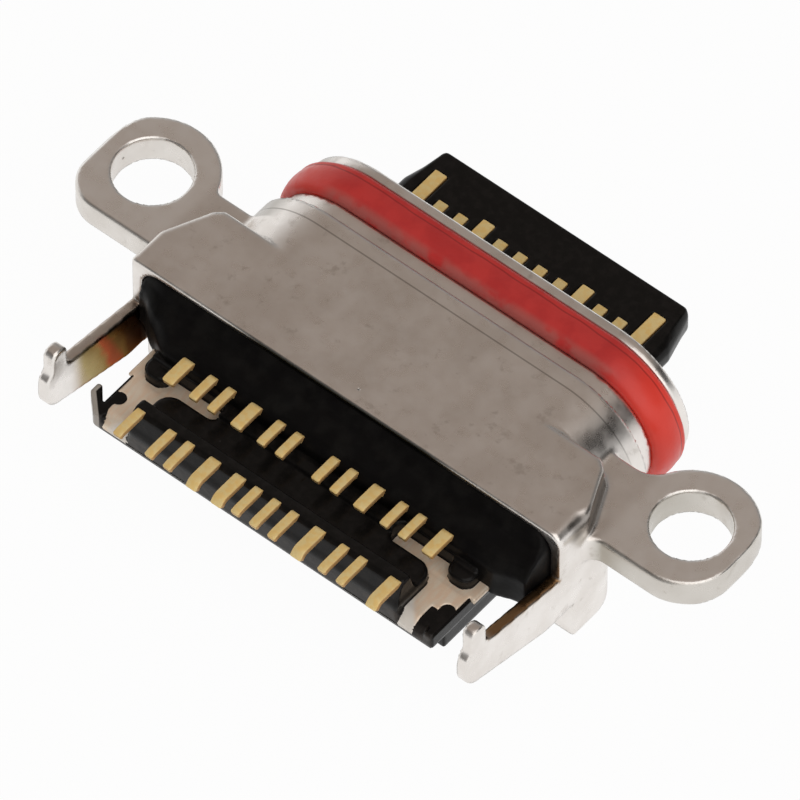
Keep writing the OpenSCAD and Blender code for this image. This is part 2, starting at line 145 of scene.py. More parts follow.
# Places in a row count from 0 at the left: grounds at the ends, power at 3 and 8
GROUNDS = (0, 11)
POWERS = (3, 8)
FRONT_WIDE = GROUNDS + POWERS
REAR_WIDE = (3, 4, 8, 11)

# Steps between the tails, from the middle outwards
FRONT_STEPS = (0.455, 0.455, 0.625, 0.625, 0.455, 0.625)
REAR_STEPS = (0.2275, 0.455, 0.625, 0.625, 0.455, 0.79)


# Signed distances: negative inside, in millimetres
def rounded(a, b, r):
    """Where two forms overlap, with their shared edge rounded."""
    return np.minimum(np.maximum(a, b), -r) + np.hypot(np.maximum(a + r, 0), np.maximum(b + r, 0))


def fillet(a, b, r):
    """Two forms joined, with a hollow fillet in the corner between them."""
    return np.maximum(np.minimum(a, b), r) - np.hypot(np.maximum(r - a, 0), np.maximum(r - b, 0))


def carve(a, b, r):
    """One form less another, with the rim rounded."""
    return rounded(a, -b, r)


def rect(x, y, x0, x1, y0, y1, r=0.0):
    """A rectangle with round corners."""
    across = np.abs(x - (x0 + x1) / 2) - (x1 - x0) / 2 + r
    along = np.abs(y - (y0 + y1) / 2) - (y1 - y0) / 2 + r
    outside = np.hypot(np.maximum(across, 0), np.maximum(along, 0))
    return np.minimum(np.maximum(across, along), 0) + outside - r


def stadium(x, h, w, height):
    """A slot outline with two round ends."""
    return np.hypot(np.maximum(np.abs(x) - (w - height) / 2, 0), h) - height / 2


def within(v, low, high):
    """The space between two parallel planes."""
    return np.abs(v - (low + high) / 2) - (high - low) / 2


def polygon(x, y, points):
    """Any closed outline."""
    nearest = np.inf
    sign = 1.0
    for (ax, ay), (bx, by) in zip(points, points[-1:] + points[:-1]):
        ex, ey = bx - ax, by - ay
        wx, wy = x - ax, y - ay
        t = np.clip((wx * ex + wy * ey) / (ex * ex + ey * ey), 0, 1)
        nearest = np.minimum(nearest, (wx - ex * t) ** 2 + (wy - ey * t) ** 2)
        above, below, left = y >= ay, y < by, ex * wy > ey * wx
        flips = (above & below & left) | ~(above | below | left)
        sign = np.where(flips, -sign, sign)
    return sign * np.sqrt(nearest)


def smooth_step(v, low, high):
    """Rises from 0 to 1 between two values, with soft ends."""
    t = np.clip((v - low) / (high - low), 0, 1)
    return t * t * (3 - 2 * t)


def ripple(x, y, z, wave, seed):
    """Gentle unevenness between about -1 and 1, made of a few waves."""
    rng = np.random.RandomState(seed)
    waves, spread, full_turn = 6, 0.6, 6.28
    total = 0.0
    for _ in range(waves):
        kx, ky, kz = rng.normal(size=3) * 2 * math.pi / wave * spread
        total = total + np.sin(kx * x + ky * y + kz * z + rng.uniform(0, full_turn))
    return total / (waves / 2)


def leg_top(y):
    """The height of a leg's upper edge, which rises to the rear."""
    return math.tan(math.radians(LEG_SLOPE)) * (BOX_REAR - y) + LEG_START_Z


def leg_outline(y, z):
    """A solder leg from the side: tapered arm, round end and the nub that enters the board."""
    turn, turn_z = LEG_TURN
    rear = turn - LEG_END_R
    arm = polygon(y, z, [
        (LEG_ROOT, leg_top(LEG_ROOT)), (-4.9, leg_top(-4.9)), (-5.1, -0.3), (rear, -0.55), (rear, turn_z),
        (turn, turn_z), (turn - 0.124, turn_z - 0.4325), (-2.5, -1.871), (LEG_ROOT, -1.9)])
    arm = np.minimum(arm, np.hypot(y - turn, z - turn_z) - LEG_END_R)
    nub_r, hollow_r, overlap = 0.2, 0.15, 0.44
    nub = rect(y, z, NUB_REAR, NUB_FRONT, leg_top(NUB_FRONT) - overlap, NUB_TOP, nub_r)
    return fillet(arm, nub, hollow_r)


def ear_outline(ax, y, hollow_r, corner_r):
    """A screw ear from above, with a hollow corner between its head and its root."""
    head_end, head_soft = 7.99, 0.3
    head = rounded(np.hypot(ax - HOLE_X, y) - EAR_HEAD_R, ax - head_end, head_soft)
    corner = rect(ax, y, 5.5, EAR_END, EAR_REAR, 0.9, corner_r)
    root = rect(ax, y, 4.2, HOLE_X, EAR_REAR, EAR_FRONT)
    reach, centre_y = EAR_HEAD_R + hollow_r, EAR_FRONT + hollow_r
    centre_x = HOLE_X - math.sqrt(reach ** 2 - centre_y ** 2)
    touch = EAR_HEAD_R / reach
    touch_x, touch_y = HOLE_X + (centre_x - HOLE_X) * touch, centre_y * touch
    web = polygon(ax, y, [(centre_x, 0), (centre_x, EAR_FRONT), (touch_x, touch_y), (HOLE_X, 0)])
    web = np.maximum(web, hollow_r - np.hypot(ax - centre_x, y - centre_y))
    return np.minimum(np.minimum(head, corner), np.minimum(root, web))


def box_field(x, y, z):
    """The rear box with chamfered roof corners, joined to the ears."""
    ax = np.abs(x)
    h = z - AXIS
    far, soft = 9, 0.12
    side, front = BOX_HALF_W - soft, BOX_FRONT - soft
    chamfer = [(side, -1.43), (4.8, -0.46), (4.66, front)]
    plan = polygon(ax, y, [(-far, -far), (side, -far), *chamfer, (-far, front)]) - soft
    below = rect(x, y, -BOX_HALF_W, BOX_HALF_W, -far, BOX_FRONT, SHOULDER_R)
    left_r, bottom_r = 0.1, 0.12
    right_r = 0.12 + 0.2 * (1 - smooth_step(y, -1.6, -1.2))
    edge_r = np.where(h > 0, np.where(x > 0, right_r, left_r), bottom_r)
    box = rounded(np.where(z > -EAR_T / 2, plan, below), np.abs(h) - BOX_HALF_H, edge_r)
    box = rounded(box, BOX_REAR - y, 0.05)
    left = ear_outline(ax, y, hollow_r=0.2, corner_r=0.8)
    right = ear_outline(ax, y, hollow_r=0.65, corner_r=1.1)
    web_rear = -1.8
    web_r = 0.02 + 0.33 * (1 - smooth_step(y, -1.2, -0.8))
    web = np.maximum(fillet(plan, np.where(x < 0, left, right), web_r), web_rear - y)
    web = rounded(web, within(z, -EAR_T, 0), 0.055 + 0.06 * (1 - smooth_step(y, -1.3, -0.9)))
    return fillet(box, web, 0.03 + 0.14 * smooth_step(y, -1.5, -1.2))


def neck_field(x, y, z):
    """Collar, neck, seal groove and flange."""
    h = z - AXIS
    collar = rounded(stadium(x, h, *COLLAR), within(y, CORE_REAR, COLLAR_FRONT), 0.04)
    neck = stadium(x, h, *NECK) + 0 * y
    neck = np.maximum(neck, within(y, COLLAR_FRONT - 0.2, SEAL_REAR + 0.01))
    groove = np.maximum(stadium(x, h, *GROOVE), within(y, SEAL_REAR - 0.2, SEAL_FRONT + 0.1))
    flange = rounded(stadium(x, h, *FLANGE), within(y, SEAL_FRONT, FLANGE_FRONT), 0.06)
    return np.minimum(np.minimum(collar, neck), np.minimum(groove, flange))


def shell_field(x, y, z):
    """The one-piece shell: rear box, neck, seal groove, flange, ears and legs."""
    ax = np.abs(x)
    h = z - AXIS
    body = fillet(box_field(x, y, z), neck_field(x, y, z), 0.01 + 0.07 * smooth_step(ax, 3.4, 4.4))
    inner_w, inner_h = BOX_HALF_W - SIDE_WALL, BOX_HALF_H - ROOF
    edge_r, cavity_r = 0.05, 0.42
    body = np.minimum(body, rounded(leg_outline(y, z), within(ax, inner_w, BOX_HALF_W), edge_r))
    cavity = rounded(rect(x, h, -inner_w, inner_w, -inner_h, inner_h, cavity_r), y - CORE_REAR, 0.1)
    body = carve(body, cavity, edge_r)
    foot = rounded(within(ax, FOOT_INNER, FOOT_OUTER), within(z, FOOT_BOTTOM, FOOT_TOP), edge_r)
    body = np.minimum(body, np.maximum(foot, within(y, BELLY_REAR, FOOT_FRONT)))
    body = carve(body, stadium(x, h, *MOUTH) + 0 * y, 0.07)
    body = carve(body, np.maximum(y - BELLY_REAR, z - BELLY_TOP), edge_r)
    return carve(body, np.hypot(ax - HOLE_X, y) - HOLE_R, 0.04)


def base_outline(x, y):
    """The thin base from above, with the hook at its left corner."""
    half_w, hook_x = 4.25, -4.63
    return polygon(x, y, [
        (-half_w, CORE_REAR), (-half_w, -4.49), (-4.53, -4.17), (hook_x, -4.17), (hook_x, -4.41),
        (-4.23, BASE_REAR), (half_w, BASE_REAR), (half_w, CORE_REAR)])


def tab_drop(y):
    """How far the plate's rear tabs turn down."""
    return 2.3 * np.maximum(TAB_START - y, 0) ** 2


def base_field(x, y, h):
    """The thin base, which sinks under the plate's tabs, and the lower block under it."""
    ax = np.abs(x)
    ramp = 0.06
    at_tab = smooth_step(ax, TAB_INNER, TAB_INNER + ramp) * (1 - smooth_step(ax, TAB_OUTER - ramp, TAB_OUTER))
    slab = rounded(base_outline(x, y), within(h, BASE_BOTTOM, PLATE_TOP - at_tab * tab_drop(y)), 0.04)
    lower = rect(x, y, -LOWER_HALF_W, LOWER_HALF_W, LOWER_REAR, BLOCK_FRONT)
    return np.minimum(slab, rounded(lower, within(h, -0.5, 0.1), 0.05))


def block_field(ax, y, h):
    """The block under the front row, with a round boss at each end."""
    bottom, boss_top, boss_r, edge_r = 0.1, 0.62, 0.24, 0.06
    bridge = rect(ax, y, 0, BRIDGE_HALF_W, -3.5, BRIDGE_FRONT)
    block = fillet(rect(ax, y, 0, BLOCK_HALF_W, BLOCK_REAR, BLOCK_FRONT), bridge, BRIDGE_R)
    block = rounded(block, within(h, bottom, BLOCK_TOP), edge_r)
    boss = rounded(rect(ax, y, 3.5, 4.1, -3.56, -2.5, boss_r), within(h, bottom, boss_top), edge_r)
    return np.minimum(block, boss)


def island_field(ax, y, h):
    """The raised island at the rear, with a ridge over the bends of the rear row."""
    corner_r, rear_r, ridge_half_w = 0.35, 0.04, 3.35
    bridge = rect(ax, y, 0, BRIDGE_HALF_W, -4.0, BRIDGE_FRONT)
    island = rect(ax, y, 0, ISLAND_HALF_W, BASE_REAR - 1, ISLAND_FRONT, corner_r)
    island = rounded(fillet(island, bridge, BRIDGE_R), BASE_REAR - y, rear_r)
    island = rounded(island, within(h, 0.1, ISLAND_TOP), 0.07)
    crest = [(-4.2, 0.5), (-4.36, 1.06), (-4.54, 1.08), (-4.67, 0.99), (-4.78, 0.5)]
    ridge = polygon(y + 0 * ax, h, crest) - 0.02
    island = fillet(island, rounded(ridge, ax - ridge_half_w, 0.06), 0.08)
    rear_slope = 0.2425 * (h - 0.98) - 0.97 * (y + 4.69)
    return rounded(island, rear_slope, rear_r)


def insulator_field(x, y, z):
    """Tongue, root, core and the rear base with its raised blocks."""
    ax = np.abs(x)
    h = z - AXIS
    half, r, chamfer_l, chamfer_w = TONGUE_HALF_W, 0.13, 0.97, 0.36
    tongue = polygon(x, y, [
        (r - half, ROOT_REAR), (r - half, TIP - chamfer_l), (chamfer_w - half, TIP - r),
        (half - chamfer_w, TIP - r), (half - r, TIP - chamfer_l), (half - r, ROOT_REAR)]) - r
    side_r = 0.06 + 0.22 * smooth_step(ax, half - 0.4, half - 0.15)
    tongue = rounded(tongue, np.abs(h) - TONGUE_HALF_T, side_r)
    root = rounded(rect(x, y, -half, half, ROOT_REAR, ROOT_FRONT), np.abs(h) - ROOT_HALF_T, 0.06)
    play = 0.02
    core = stadium(x, h, MOUTH[0] - play, MOUTH[1] - play)
    core = rounded(core, within(y, CORE_REAR, CORE_FRONT), 0.03)
    solid = fillet(np.minimum(tongue, core), root, 0.04)
    raised = np.minimum(block_field(ax, y, h), island_field(ax, y, h))
    solid = np.minimum(np.minimum(solid, base_field(x, y, h)), raised)
    gap, slot_floor, slot_top = 0.012, 0.21, 0.5
    for place in range(PER_ROW):
        across = np.abs(x - tongue_x(place)) - strip_w(place) / 2 - gap
        slot = np.maximum(across, within(y, CORE_FRONT, TIP - setback(place) + gap))
        solid = carve(solid, np.maximum(slot, within(np.abs(h), slot_floor, slot_top)), gap)
    return solid


def potting_field(x, y, z):
    """Poured filling: it falls from the roof's edge to the front row of tails, and less far at both ends."""
    h = z - AXIS
    gap = 0.01
    inner_w, inner_h = BOX_HALF_W - SIDE_WALL - gap, BOX_HALF_H - ROOF - gap
    room = rect(x, h, -inner_w, inner_w, -inner_h, inner_h, 0.41)
    reach = 1.0 - 0.42 * smooth_step(-x, 3.75, 4.6) - 0.36 * smooth_step(-x, 4.45, 5.05)
    reach = reach - 0.17 * smooth_step(x, 4.3, 4.95)
    lip = -2.2
    along = np.where(y < lip, lip + (y - lip) / reach, y)
    wavy = h + 0.02 * ripple(x, y, z, wave=1.8, seed=3)
    r = 0.06
    section = polygon(along + 0 * z, wavy, [
        (-1.3, r - inner_h), (-1.3, inner_h - 0.03), (lip, inner_h - 0.03), (-2.5, 1.3), (-2.8, 1.16),
        (-2.95, 1.09), (-3.04, 1.0), (-3.12, 0.9), (-3.12, 0.2), (-2.6, -0.1), (-2.0, -0.6), (-1.67, -0.8),
        (-1.67, r - inner_h)]) - r
    return rounded(section * (0.4 + 0.6 * reach), room, 0.03)


def plate_field(x, y, z):
    """Bare ends of the stamped mid plate, turned down at the rear."""
    ax = np.abs(x)
    h = z - AXIS + tab_drop(y)
    arm = rect(ax, y, 1.9, 4.2, BASE_REAR, ISLAND_FRONT)
    arm = np.minimum(arm, rect(ax, y, 1.5, 4.33, ISLAND_FRONT, BELLY_REAR))
    sunk, proud = 0.12, 0.012
    notch_x, notch_r, cut_y = 4.07, 0.15, -4.22
    cut_x = np.where(x > 0, 3.78, notch_x)
    notch_y = np.where(x > 0, -4.12, cut_y)
    arm = np.maximum(arm, -np.maximum(cut_x - ax, y - cut_y))
    arm = np.maximum(arm, notch_r - np.hypot(ax - notch_x, y - notch_y))
    return rounded(arm, within(h, PLATE_TOP - sunk, PLATE_TOP + proud), 0.03)


def tongue_x(place):
    """Where a contact stands on the tongue."""
    return (place - (PER_ROW - 1) / 2) * PITCH


def strip_w(place):
    """How wide a contact is on the tongue."""
    return 0.3 if place in FRONT_WIDE else 0.25


def setback(place):
    """How far a contact ends behind the tongue's tip."""
    return 0.51 if place in GROUNDS else 0.86 if place in POWERS else 1.04


# Meshes
def surface(field, low, high, step):
    """A closed mesh of quads on a field's zero surface."""
    axes = [np.arange(a, b + step, step) for a, b in zip(low, high)]
    shape = tuple(len(a) for a in axes)
    x, y, z = np.ix_(*axes)
    values = np.ascontiguousarray(np.broadcast_to(field(x, y, z), shape), dtype=np.float32)
    inside = values < 0
    corners = [(i, j, k) for i in (0, 1) for j in (0, 1) for k in (0, 1)]
    count = np.zeros(tuple(n - 1 for n in shape), np.int8)
    for corner in corners:
        count += inside[tuple(slice(c, n - 1 + c) for c, n in zip(corner, shape))]
    active = (count > 0) & (count < 8)
    number = np.full(active.shape, -1, np.int64)
    number[active] = np.arange(active.sum())
    cells = np.argwhere(active)
    total = np.zeros((len(cells), 3))
    hits = np.zeros(len(cells))
    for one in corners:
        for axis in range(3):
            if one[axis]:
                continue
            two = tuple(c + (k == axis) for k, c in enumerate(one))
            va = values[tuple((cells + one).T)]
            vb = values[tuple((cells + two).T)]
            crossed = (va < 0) != (vb < 0)
            share = va[crossed] / (va[crossed] - vb[crossed])
            point = np.tile(np.array(one, float), (len(share), 1))
            point[:, axis] = share
            total[crossed] += point
            hits[crossed] += 1
    points = (cells + total / hits[:, None]) * step + np.array(low)
    quads = []
    for axis in range(3):
        u, v = (axis + 1) % 3, (axis + 2) % 3
        first = np.take(inside, range(shape[axis] - 1), axis)
        second = np.take(inside, range(1, shape[axis]), axis)
        edges = np.argwhere(first != second)
        step_u, step_v = np.eye(3, dtype=int)[u], np.eye(3, dtype=int)[v]
        outward = first[tuple(edges.T)]
        ring = [edges - step_u - step_v, edges - step_v, edges, edges - step_u]
        quad = np.stack([number[tuple(r.T)] for r in ring], 1)
        quad[~outward] = quad[~outward][:, ::-1]
        quads.append(quad)
    return points, np.concatenate(quads)


def slope(field, points, reach=0.004):
    """The field's value and its gradient at points."""
    value = field(*points.T)
    rise = [field(*(points + s).T) - field(*(points - s).T) for s in reach * np.eye(3)]
    return value, np.stack(rise, 1) / (2 * reach)


def settle(field, points, step):
    """Moves points onto the field's zero surface, and gives the surface's direction there."""
    least_slope, most_move = 0.3, 0.6 * step
    for _ in range(3):
        value, gradient = slope(field, points)
        size = np.maximum(np.linalg.norm(gradient, axis=1), least_slope)
        move = np.clip(value / size, -most_move, most_move)
        points = points - (move / size)[:, None] * gradient
    normal = slope(field, points)[1]
    return points, normal / np.maximum(np.linalg.norm(normal, axis=1), 1e-6)[:, None]


def add_mesh(name, points, quads):
    """A smooth-shaded object from points in millimetres and a table of quads."""
    mesh = bpy.data.meshes.new(name)
    mesh.vertices.add(len(points))
    mesh.vertices.foreach_set("co", (points * MM).astype(np.float32).ravel())
    mesh.loops.add(quads.size)
    mesh.loops.foreach_set("vertex_index", quads.astype(np.int32).ravel())
    mesh.polygons.add(len(quads))
    mesh.polygons.foreach_set("loop_start", np.arange(0, quads.size, 4, dtype=np.int32))
    mesh.update(calc_edges=True)
    mesh.validate()
    mesh.shade_smooth()
    piece = bpy.data.objects.new(name, mesh)
    bpy.context.scene.collection.objects.link(piece)
    return piece


def mark(piece, name, values):
    """Keeps one number for each point, for the materials."""
    piece.data.attributes.new(name, "FLOAT", "POINT").data.foreach_set("value", values.astype(np.float32))


def form(name, field, low, high, step):
    """A piece from a field, with its edges and hollows marked."""
    points, quads = surface(field, low, high, step)
    points, normals = settle(field, points, step)
    piece = add_mesh(name, points, quads)
    around = np.zeros_like(points)
    links = np.zeros(len(points))
    for turn in range(4):
        one, two = quads[:, turn], quads[:, (turn + 1) % 4]
        np.add.at(around, one, points[two])
        np.add.at(links, one, 1)
    bend = -np.einsum("ij,ij->i", around / links[:, None] - points, normals) / step
    edge_gain = 4
    mark(piece, "edge", np.clip(bend * edge_gain, 0, 1))
    reaches = (0.12, 0.3, 0.7)
    open_share = [np.clip(field(*(points + normals * d).T) / d, 0, 1) for d in reaches]
    mark(piece, "open", sum(open_share) / len(open_share))
    return piece, points, normals


def dress(piece, material, slot, *nodes):
    """Gives a piece its material and its place on the body, and hides the solids that it stands for."""
    piece.data.materials.clear()
    piece.data.materials.append(material)
    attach(piece, "root")
    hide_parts(*nodes)


# Materials, with lengths in millimetres
WHITE = (1, 1, 1, 1)


class Nodes:
    """A node tree, with short calls to add nodes."""

    def __init__(self, tree):
        self.tree = tree

    def add(self, kind, settings=None, inputs=None):
        """A new node. Inputs that are sockets are linked, and others are set."""
        node = self.tree.nodes.new(kind)
        for key, value in (settings or {}).items():
            setattr(node, key, value)
        for key, value in (inputs or {}).items():
            if isinstance(value, bpy.types.NodeSocket):
                self.tree.links.new(value, node.inputs[key])
            else:
                node.inputs[key].default_value = value
        return node

    def math(self, operation, a, b=0.0):
        """One operation on two values, or on the first alone."""
        return self.add("ShaderNodeMath", {"operation": operation}, {0: a, 1: b}).outputs[0]

    def vector(self, operation, inputs):
        """One operation on vectors, as the node's outputs."""
        return self.add("ShaderNodeVectorMath", {"operation": operation}, inputs).outputs

    def times(self, first, *others):
        """The product of several values."""
        for other in others:
            first = self.math("MULTIPLY", first, other)
        return first

    def off(self, value, centre=0.0):
        """How far a value lies from a centre, to either side."""
        return self.math("ABSOLUTE", self.math("SUBTRACT", value, centre))

    def band(self, value, low, high, to_low=0.0, to_high=1.0, kind="SMOOTHSTEP"):
        """Takes a value's range to another, with soft ends or straight."""
        inputs = {"Value": value, "From Min": low, "From Max": high, "To Min": to_low, "To Max": to_high}
        return self.add("ShaderNodeMapRange", {"interpolation_type": kind}, inputs).outputs["Result"]

    def mix(self, share, a, b):
        """From one colour to another. The node has its colours at 6 and 7, and the result at 2."""
        return self.add("ShaderNodeMix", {"data_type": "RGBA"}, {0: share, 6: a, 7: b}).outputs[2]

    def ramp(self, value, stops):
        """A colour from a row of stops."""
        node = self.add("ShaderNodeValToRGB", None, {"Fac": value})
        elements = node.color_ramp.elements
        while len(elements) < len(stops):
            elements.new(0.5)
        for element, (place, colour) in zip(elements, stops):
            element.position = place
            element.color = colour
        return node.outputs["Color"]


class Finish(Nodes):
    """A material on the standard surface shader, with patterns in millimetres."""

    SOCKETS = {"colour": "Base Color", "roughness": "Roughness", "normal": "Normal", "tint": "Specular Tint"}

    def __init__(self, name, **values):
        self.material = bpy.data.materials.new(name)
        self.material.use_nodes = True
        super().__init__(self.material.node_tree)
        self.shader = self.tree.nodes["Principled BSDF"]
        for key, value in values.items():
            self.shader.inputs[key.replace("_", " ").title().replace("Ior", "IOR")].default_value = value
        place = self.add("ShaderNodeTexCoord").outputs["Object"]
        self.place = self.vector("SCALE", {0: place, "Scale": 1 / MM})[0]

    def axes(self):
        """The three coordinates of a place on the piece."""
        return self.add("ShaderNodeSeparateXYZ", None, {0: self.place}).outputs

    def attribute(self, name):
        """A number that the piece keeps for each point."""
        return self.add("ShaderNodeAttribute", {"attribute_name": name}).outputs["Fac"]

    def noise(self, scale, detail=3.0, roughness=0.5, stretch=None):
        """Soft noise, stretched along the axes if asked."""
        place = self.place
        if stretch:
            place = self.vector("MULTIPLY", {0: place, 1: stretch})[0]
        inputs = {"Vector": place, "Scale": scale, "Detail": detail, "Roughness": roughness}
        return self.add("ShaderNodeTexNoise", None, inputs).outputs["Fac"]

    def clouds(self, a, b, scale, detail=3.0, low=0.35, high=0.65):
        """A colour that wanders between two."""
        return self.mix(self.band(self.noise(scale, detail), low, high), a, b)

    def wander(self, low, high, scale, detail=3.0):
        """A value that wanders between two."""
        return self.band(self.noise(scale, detail), 0.3, 0.7, low, high)

    def spots(self, scale, size, share):
        """Sparse round specks."""
        node = self.add("ShaderNodeTexVoronoi", None, {"Vector": self.place, "Scale": scale})
        near = self.band(node.outputs["Distance"], size, size * 0.4)
        some = self.add("ShaderNodeSeparateColor", None, {"Color": node.outputs["Color"]}).outputs[0]
        return self.times(near, self.math("LESS_THAN", some, share))

    def bump(self, height, depth, base=None):
        """A relief of some depth, on a smooth surface or on another relief."""
        inputs = {"Height": height, "Distance": depth * MM, "Strength": 1.0}
        if base:
            inputs["Normal"] = base
        return self.add("ShaderNodeBump", None, inputs).outputs["Normal"]

    def set(self, **links):
        """Links values to the shader, and gives the material."""
        for key, value in links.items():
            self.tree.links.new(value, self.shader.inputs[self.SOCKETS[key]])
        return self.material


def rgb(*channels):
    """A colour as a picture shows it, 0 to 255, in linear light."""
    shares = [c / 255 for c in channels]
    linear = [c / 12.92 if c <= 0.04045 else ((c + 0.055) / 1.055) ** 2.4 for c in shares]
    return (*linear, 1.0)


def worn_steel_and_hollow_shade(finish, pits):
    """Patchy gray with stains, bright edges, painted shade in the hollows and dark pits."""
    colour = finish.clouds(rgb(228, 222, 216), rgb(238, 233, 228), scale=1.1, detail=4.0)
    stains = finish.band(finish.noise(2.6, 6.0, 0.6), 0.58, 0.72, 0.0, 0.3)
    colour = finish.mix(stains, colour, rgb(150, 138, 124))
    bright = finish.band(finish.attribute("edge"), 0.2, 0.9, 0.0, 0.3)
    colour = finish.mix(bright, colour, rgb(236, 233, 228))
    # painted shade: darker where the surface is less open, in hollows and corners
    hollow_shade = finish.band(finish.attribute("open"), 0.7, 0.25, 0.0, 0.45)
    colour = finish.mix(hollow_shade, colour, rgb(110, 100, 90))
    return finish.mix(finish.times(pits, 0.7), colour, rgb(80, 72, 64))


def shaded_steel(finish, colour):
    """Painted light on the ear tops and painted shade on the ear walls, the shoulders, the right rear side
    and the collar's left end, with a painted dark line standing for a small step on the collar.
    """
    x, y, z = finish.axes()
    outward = finish.off(x)
    # painted light on the ear tops and painted shade on the ear walls
    colour = finish.mix(finish.attribute("ear_top_painted_light"), colour, rgb(253, 251, 248))
    colour = finish.mix(finish.attribute("ear_wall_painted_shade"), colour, rgb(150, 145, 130))
    # painted shade on the wall between roof and ear at the shoulders, and on the right rear side of the box
    upright = finish.times(finish.band(z, 0.665, 0.6), finish.band(z, 0.0, 0.09))
    at_side = finish.band(x, -0.5, 0.5, 0.35, 0.7)
    at_shoulder = finish.times(finish.band(y, -1.6, -1.35), finish.band(y, -0.1, -0.3))
    shoulder_shade = finish.times(finish.band(outward, 4.4, 4.6), at_shoulder, at_side)
    rear_side_shade = finish.times(
        finish.band(y, -2.05, -1.75, 0.0, 0.7), finish.band(z, 0.12, 0.35), finish.band(x, 5.0, 5.2))
    shaded = finish.times(upright, finish.math("MAXIMUM", shoulder_shade, rear_side_shade))
    colour = finish.mix(shaded, colour, rgb(112, 104, 97))
    # painted shade on the collar's left end
    left_end_shade = finish.times(
        finish.band(x, -3.8, -4.4, 0.0, 0.6), finish.band(y, 0.36, 0.44), finish.band(x, -5.2, -5.0))
    colour = finish.mix(left_end_shade, colour, rgb(140, 136, 128))
    # painted shade: a thin dark line standing for a small step round the collar
    on_collar = finish.band(outward, 5.0, 4.3)
    step_line_shade = finish.times(finish.band(finish.off(y, 0.64), 0.025, 0.008, 0.0, 0.5), on_collar)
    return finish.mix(step_line_shade, colour, rgb(84, 76, 68))


def leg_and_roof_edge_colours(finish, colour):
    """Temper colours on the left leg's inner side, darkest at the root with painted shadow, brown on the
    legs' upper faces and a film on the roof's edge.
    """
    _, y, z = finish.axes()
    uneven = finish.times(finish.noise(1.6), 0.5)
    from_root = finish.math("ADD", y, finish.math("ADD", uneven, finish.times(z, 0.35)))
    # temper colours, with painted shadow in the dark end of the ramp at the leg's root
    heat_and_root_shade = finish.ramp(finish.band(from_root, -4.4, -1.9, kind="LINEAR"), [
        (0.0, rgb(198, 190, 174)), (0.16, rgb(172, 163, 120)), (0.3, rgb(140, 123, 82)),
        (0.37, rgb(156, 80, 60)), (0.44, rgb(130, 70, 53)), (0.5, rgb(92, 77, 50)),
        (0.57, rgb(54, 43, 32)), (0.8, rgb(27, 21, 17))])
    colour = finish.mix(finish.times(finish.attribute("temper_and_root_shade"), 0.96), colour, heat_and_root_shade)
    colour = finish.mix(finish.attribute("brown"), colour, rgb(150, 118, 84))
    return finish.mix(finish.attribute("film"), colour, rgb(60, 60, 54))


def moulded_steel():
    """Moulded stainless steel, worn and handled, with heated legs, and painted light and shade."""
    finish = Finish("moulded_steel", metallic=1.0)
    pits = finish.spots(scale=1.3, size=0.05, share=0.2)
    colour = worn_steel_and_hollow_shade(finish, pits)
    colour = shaded_steel(finish, colour)
    colour = leg_and_roof_edge_colours(finish, colour)
    tint = finish.mix(finish.attribute("temper_and_root_shade"), WHITE, rgb(196, 162, 144))
    roughness = finish.wander(0.26, 0.36, scale=3.0, detail=4.0)
    normal = finish.bump(finish.noise(60.0, 3.0, 0.6), 0.0012)
    normal = finish.bump(finish.times(pits, -1.0), 0.015, normal)
    return finish.set(colour=colour, tint=tint, roughness=roughness, normal=normal)


def red_silicone():
    """Moulded silicone, with painted light brightening the round ends, painted shade in a crease and a dusty
    rear edge.
    """
    finish = Finish("red_silicone", specular_ior_level=0.4)
    x, y, _ = finish.axes()
    at_ends = finish.band(finish.off(x), 3.0, 4.6)
    uneven = finish.math("ADD", y, finish.times(finish.noise(1.2, 2.0), 0.1))
    crease_shade = finish.band(finish.off(uneven, 2.07), 0.03, 0.006, 0.0, 0.5)
    at_rear = finish.band(y, 1.64, 1.46, 0.0, 0.55)
    dusty = finish.times(at_rear, finish.band(finish.noise(2.5), 0.3, 0.6), finish.band(at_ends, 0.5, 0.1))
    specks = finish.times(finish.spots(scale=2.4, size=0.055, share=0.16), 0.5)
    colour = finish.clouds(rgb(199, 52, 51), rgb(212, 60, 57), scale=1.8)
    # painted light: the round ends brighter red
    colour = finish.mix(at_ends, colour, rgb(244, 72, 58))
    # painted shade along the crease
    colour = finish.mix(crease_shade, colour, rgb(120, 24, 26))
    colour = finish.mix(dusty, colour, rgb(172, 116, 108))
    colour = finish.mix(specks, colour, rgb(232, 172, 164))
    roughness = finish.wander(0.28, 0.42, scale=5.0)
    return finish.set(colour=colour, roughness=roughness, normal=finish.bump(finish.noise(14.0), 0.004))


def black_plastic():
    """Glossy black plastic with specks, a painted sheen on the rear edge and a pale rim on the hook."""
    finish = Finish("black_plastic", specular_ior_level=0.15)
    colour = finish.clouds(rgb(22, 21, 20), rgb(30, 28, 27), scale=6.0, detail=4.0, low=0.4, high=0.7)
    specks = finish.times(finish.spots(scale=2.2, size=0.025, share=0.2), 0.5)
    colour = finish.mix(specks, colour, rgb(110, 108, 106))
    # painted sheen in gray patches on the base's rear face
    sheen_patches = finish.band(finish.noise(3.5, 4.0, 0.6), 0.35, 0.65, 0.45, 1.0)
    colour = finish.mix(finish.times(finish.attribute("rear_sheen"), sheen_patches), colour, rgb(78, 73, 69))
    x, y, _ = finish.axes()
    slanted = finish.band(finish.math("ADD", x, y), -8.88, -8.91, 0.0, 0.85)
    hook_rim = finish.math("MAXIMUM", slanted, finish.band(x, -4.515, -4.535, 0.0, 0.85))
    colour = finish.mix(hook_rim, colour, rgb(200, 194, 186))
    roughness = finish.wander(0.14, 0.26, scale=4.0, detail=4.0)
    return finish.set(colour=colour, roughness=roughness, normal=finish.bump(finish.noise(9.0), 0.003))


